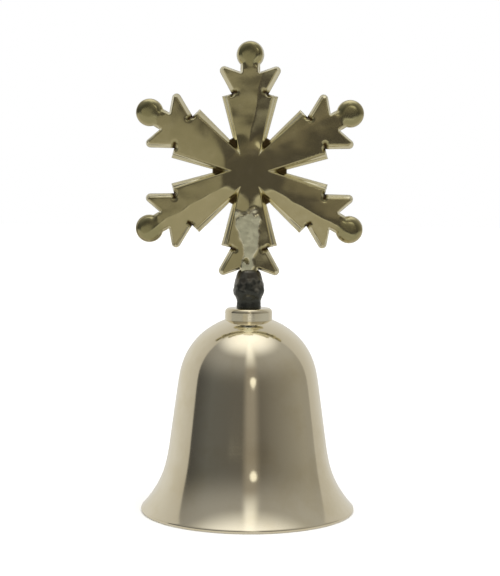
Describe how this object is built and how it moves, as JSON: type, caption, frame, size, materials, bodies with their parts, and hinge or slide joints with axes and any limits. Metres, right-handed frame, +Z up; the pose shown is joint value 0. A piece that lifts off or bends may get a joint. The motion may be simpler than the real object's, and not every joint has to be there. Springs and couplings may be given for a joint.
{
  "type": "christmas bell ornament",
  "caption": "Flared hand bell with a cast snowflake for its handle on a short collar, and a ball clapper that swings from chain links under the crown.",
  "frame": {"origin": "on the bell's axis in the plane that the lip stands on", "axes": "+Z up along the bell's axis, the snowflake lies in the XZ plane and its front faces -Y"},
  "size_m": [0.058, 0.0548, 0.12],
  "materials": {
    "cup_polish": "spun and polished, pale",
    "collar_polish": "turned and polished",
    "cast_patina": "cast, polished faces with dark patina in the recesses",
    "fixings": "turned, dulled",
    "chain_wire": "drawn wire, dulled",
    "clapper_brass": "turned, satin"
  },
  "bodies": {
    "bell": {"bell_cup": "cup_polish", "collar": "collar_polish", "snowflake_handle": "cast_patina", "eye_bolt": "fixings", "crown_washer": "fixings", "lock_nut": "fixings"},
    "upper_link": {"upper_link": "chain_wire"},
    "lower_link": {"lower_link": "chain_wire"},
    "clapper": {"clapper_pin": "chain_wire", "clapper_ball": "clapper_brass"}
  },
  "joints": [
    {"name": "upper_link_swing", "type": "hinge", "parent": "bell", "child": "upper_link", "pos_m": [0, 0, 0.0366], "axis": [1, 0, 0], "range_deg": [-15, 15]},
    {"name": "lower_link_swing", "type": "hinge", "parent": "upper_link", "child": "lower_link", "pos_m": [0, 0, 0.03085], "axis": [0, 1, 0], "range_deg": [-30, 30]},
    {"name": "clapper_swing", "type": "hinge", "parent": "lower_link", "child": "clapper", "pos_m": [0, 0, 0.0245], "axis": [1, 0, 0], "range_deg": [-18, 18]}
  ]
}
